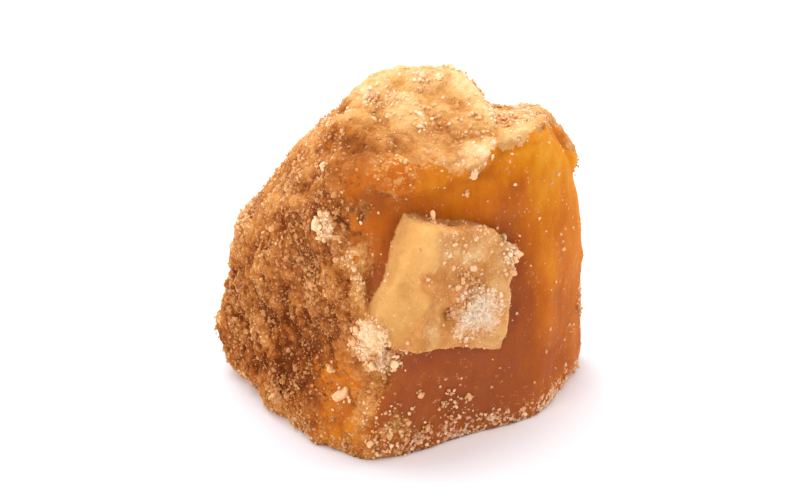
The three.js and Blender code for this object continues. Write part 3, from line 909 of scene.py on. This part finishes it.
def turns(rng, count):
    """Random rotation matrices, from random unit quaternions."""
    q = rng.normal(size=(count, 4))
    w, x, y, z = (q / np.linalg.norm(q, axis=1, keepdims=True)).T
    rows = [1 - 2 * (y * y + z * z), 2 * (x * y - z * w), 2 * (x * z + y * w),
            2 * (x * y + z * w), 1 - 2 * (x * x + z * z), 2 * (y * z - x * w),
            2 * (x * z - y * w), 2 * (y * z + x * w), 1 - 2 * (x * x + y * y)]
    return np.stack(rows, 1).reshape(-1, 3, 3)


def places_on(rng, weights, count):
    """Random places on the block, as many to a square millimetre as the weights at its vertices say:
    (places, outward normals, the number of a vertex beside each)."""
    corners = points[quads]
    face = np.cross(corners[:, 2] - corners[:, 0], corners[:, 3] - corners[:, 1])
    chance = np.linalg.norm(face, axis=1) * weights[quads].mean(1)
    chosen = rng.choice(len(quads), count, p=chance / chance.sum())
    u, v = rng.random((2, count, 1))
    c = corners[chosen]
    place = (c[:, 0] * (1 - u) + c[:, 1] * u) * (1 - v) + (c[:, 3] * (1 - u) + c[:, 2] * u) * v
    out = face[chosen]
    return place, out / np.linalg.norm(out, axis=1, keepdims=True), quads[chosen, 0]


def broken_radii(rng, count, vertices, cuts=9):
    """How far out each vertex of a unit ball lies once flat cuts have been made at random: where its ray
    meets the nearest cut, or 1."""
    cut = rng.normal(size=(count, cuts, 3))
    cut /= np.linalg.norm(cut, axis=2, keepdims=True)
    facing = np.einsum("vj,nkj->nvk", vertices, cut)
    reach = rng.uniform(0.5, 0.85, (count, 1, cuts)) / np.maximum(facing, 0.05)
    return np.minimum(reach.min(2), 1)[..., None]


def grains(rng, places, sizes, shape):
    """(points, faces, the number of each point's grain): a broken ball at each place, longer than it is
    thick and turned any way."""
    vertices, faces = shape
    count = len(places)
    stretch = rng.uniform(0.65, 1.0, (count, 1, 3))
    grain = vertices * broken_radii(rng, count, vertices) * stretch
    grain = np.einsum("nij,nvj->nvi", turns(rng, count), grain)
    mesh_points = (places[:, None] + grain * sizes[:, None, None] / 2).reshape(-1, 3)
    numbers = np.arange(count)
    mesh_faces = (faces[None] + numbers[:, None, None] * len(vertices)).reshape(-1, 3)
    return mesh_points, mesh_faces, np.repeat(numbers, len(vertices))


def clinging(name, material, mesh_points, faces, tones):
    """One mesh of crumbs that rides with the block. The tones are its points' own."""
    made = mesh_object(name, mesh_points, faces, material, {"tone": np.clip(tones, 0, 1)}, smooth=False)
    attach(made, "root")


def scatter(name, seed, material, weights, count, size, shape, lift, heap, paler):
    """One mesh of grains that cling to the block, strewn as the weights at its vertices say and about the
    given size in mm. They stand off by lift times their size, and on a heap by up to heap mm more. Each is
    a little paler than the crust below it, any pale tone on bare amber, and whitest in sugar dust."""
    rng = np.random.default_rng(seed)
    place, out, near = places_on(rng, weights, count)
    sizes = size * np.exp(np.clip(rng.normal(0, 0.28, count), -0.6, 0.4))
    raised = lift * sizes + heap * heaps[near] * rng.random(count)
    place = place + out * raised[:, None]
    keep = place[:, 2] > sizes * 0.5
    mesh_points, faces, number = grains(rng, place[keep], sizes[keep], shape)
    there = near[keep]
    tone = np.maximum(looks["pale"][there] + paler + rng.normal(0, 0.09, len(there)), 0.4)
    tone = np.where(looks["crust"][there] < 0.4, np.maximum(tone, rng.uniform(0.5, 0.9, len(there))), tone)
    tone = np.maximum(tone, 0.78 * looks["powder"][there])
    tone = np.minimum(tone, 1 - 0.15 * lie.crumbly[there])
    clinging(name, material, mesh_points, faces, tone[number])


# Single crumbs that stand out: place, width, height and tone.
LONE_CRUMBS = {
    "flake's tip": ((3.7, -13.4, 28.0), 0.9, 2.4, 0.76),
    "left spark": ((-8.7, -13.4, 26.9), 1.5, 1.6, 0.84),
    "below the spark": ((-8.4, -13.7, 25.4), 1.2, 1.0, 0.78),
    "flake's left foot": ((-4.6, -16.6, 16.0), 1.2, 1.1, 0.72),
    "below the left foot": ((-5.0, -16.6, 14.2), 1.1, 1.0, 0.7),
    "flake's low corner": ((-2.8, -17.1, 11.9), 1.3, 1.1, 0.74),
    "below the flake": ((-0.7, -16.6, 12.0), 1.6, 1.6, 0.84),
    "brow left": ((-8.0, -9.6, 31.8), 1.2, 0.9, 0.8),
    "dome": ((2.1, -6.6, 35.1), 1.0, 1.0, 0.85),
    "drip": ((7.8, -10.6, 31.8), 1.3, 2.0, 0.8),
    "brow right": ((7.0, -11.0, 29.4), 0.8, 0.7, 0.7),
    "low ridge": ((-6.2, -15.0, 7.2), 2.2, 2.0, 0.74),
    "above the low ridge": ((-7.2, -14.4, 10.2), 1.2, 1.1, 0.66),
    "foot": ((-3.2, -16.9, 2.4), 1.2, 0.9, 0.7),
    "low front left": ((0.8, -15.4, 4.1), 1.0, 0.8, 0.62),
    "low front": ((3.0, -13.9, 2.8), 1.1, 0.9, 0.6),
    "low front middle": ((2.1, -14.9, 7.3), 0.9, 0.7, 0.65),
    "low front right": ((7.4, -11.2, 4.9), 0.9, 1.3, 0.65),
    "flake's right rim": ((12.2, -9.8, 21.6), 1.4, 1.2, 0.8),
    "below the right rim": ((12.0, -10.4, 19.6), 1.0, 0.9, 0.72),
}


def lone_crumbs(name, seed, material, shape, each=7):
    """Each lone crumb is a broken grain at the point of the block nearest to its place, drawn upwards where
    it is taller than it is wide. The rest of each group are smaller grains round its foot."""
    rng = np.random.default_rng(seed)
    middles, widths, heights, tones = (np.array(column) for column in zip(*LONE_CRUMBS.values()))
    nearest = [np.argmin(((points - middle) ** 2).sum(1)) for middle in middles]
    count = len(nearest) * each
    first = np.arange(count) % each == 0
    near = np.repeat(nearest, each)
    width, height = np.repeat(widths, each), np.repeat(heights, each)
    aside = rng.normal(size=(count, 3))
    aside -= (aside * normals[near]).sum(1)[:, None] * normals[near]
    aside /= np.linalg.norm(aside, axis=1, keepdims=True)
    place = points[near] + normals[near] * (width * np.where(first, 0.2, 0.05))[:, None]
    place += aside * (width * np.where(first, 0.0, rng.uniform(0.35, 0.6, count)))[:, None]
    place[:, 2] += np.where(first, 0.3 * np.maximum(height - width, 0), 0)
    sizes = width * np.where(first, 1.0, rng.uniform(0.25, 0.5, count))
    mesh_points, faces, number = grains(rng, place, sizes, shape)
    tall = np.where(first & (height > width), height / width, 1.0)[number]
    mesh_points[:, 2] = place[number, 2] + (mesh_points[:, 2] - place[number, 2]) * tall
    clinging(name, material, mesh_points, faces, np.repeat(tones, each)[number])


off_dome = 1 - 0.4 * smoothstep(rest[:, 2], 31, 34)  # fewer on the dome
crusty = grit**2 * (0.25 + 0.75 * upward) * (0.15 + 0.85 * patchy) * off_dome
strewn = 0.01 + np.maximum(looks["bloom"] + 0.15, 0) + 2.5 * lie.dusty
sugar = crumb_material()
scatter(
    "crust_crumbs", 1, sugar, crusty * (0.3 + heaps) + 0.7 * lie.crumbly,
    count=1150, size=0.95, shape=finer_ball(*octahedron()), lift=-0.2, heap=0.25, paler=0.1,
)
scatter(
    "sugar_grains", 2, sugar, crusty * (0.3 + 2 * heaps) + lie.crumbly + strewn,
    count=5400, size=0.48, shape=icosahedron(), lift=0.0, heap=0.4, paler=0.14,
)
scatter(
    "fine_grains", 3, sugar, grit**2 * (0.5 + patchy) + 2.5 * lie.crumbly + strewn,
    count=14000, size=0.28, shape=octahedron(), lift=0.0, heap=0.3, paler=0.14,
)
lone_crumbs("lone_crumbs", 4, sugar, finer_ball(*icosahedron()))

# ---------------------------------------------------------------------------------------------------------
# Floor, lights and camera.

FLOOR_REACH = 3000.0
LIGHTS_AIM = (0, 0, 15)
# Place, size, power and colour.
LIGHTS = {
    "top_box": ((-60, 110, 410), (420, 320), 1.4, "#FFFFFF"),
    "right_box": ((330, 120, 160), (180, 180), 0.55, "#FFEFD8"),
    "back_box": ((-140, 360, 230), (240, 240), 0.45, "#FFFFFF"),
    "front_box": ((-240, -330, 200), (240, 240), 0.95, "#FFFAF4"),
}
ROOM_LIGHT, ROOM_COLOUR = 0.7, "#E9F0FF"
CAMERA_ELEVATION = 27
CAMERA_DISTANCE = 800.0
CAMERA_AIM = (0, 0, 17.0)
VIEW_WIDTH = 86.4  # what the camera takes in from side to side, at the block


def white_card():
    """Uncoated white card, which is bright and matt, so that the shadow on it is soft and clean."""
    material, tree = new_material("white_card")
    shader = add(tree, "BsdfPrincipled", {"Base Color": linear("#F8F8FA"), "Roughness": 0.7})
    add(tree, "OutputMaterial", {"Surface": shader["BSDF"]})
    return material


def floor():
    """A level square of card that reaches far past the view, with the block at its middle."""
    corners = np.array([[-1, -1, 0], [1, -1, 0], [1, 1, 0], [-1, 1, 0]]) * FLOOR_REACH
    made = mesh_object("floor", corners, np.array([[0, 1, 2, 3]]), white_card(), smooth=False)


def area_light(name, place, size, power, colour):
    """A soft box at its place, in millimetres, that faces the block."""
    data = bpy.data.lights.new(name, "AREA")
    data.shape = "RECTANGLE"
    data.size, data.size_y = (s * MM for s in size)
    data.energy = power
    data.color = linear(colour)[:3]
    made = bpy.data.objects.new(name, data)
    made.location = Vector(place) * MM
    made.rotation_euler = (Vector(LIGHTS_AIM) - Vector(place)).to_track_quat("-Z", "Y").to_euler()
    bpy.context.scene.collection.objects.link(made)


def world():
    """Even, faintly blue light from all round, as in a white room by daylight."""
    made = bpy.data.worlds.new("white_room")
    made.use_nodes = True
    background = made.node_tree.nodes["Background"]
    background.inputs["Color"].default_value = linear(ROOM_COLOUR)
    background.inputs["Strength"].default_value = ROOM_LIGHT
    bpy.context.scene.world = made


def camera():
    """In front of the block and above it, far enough off for little perspective."""
    data = bpy.data.cameras.new("camera")
    data.lens = data.sensor_width * CAMERA_DISTANCE / VIEW_WIDTH
    data.clip_start = 0.01
    made = bpy.data.objects.new("camera", data)
    back = Vector(direction(-90, CAMERA_ELEVATION))
    made.location = (Vector(CAMERA_AIM) + back * CAMERA_DISTANCE) * MM
    made.rotation_euler = (-back).to_track_quat("-Z", "Y").to_euler()
    bpy.context.scene.collection.objects.link(made)
    bpy.context.scene.camera = made


floor()
world()
for name, (place, spread, power, colour) in LIGHTS.items():
    area_light(name, place, spread, power, colour)
camera()
bpy.context.scene.view_settings.view_transform = "Standard"
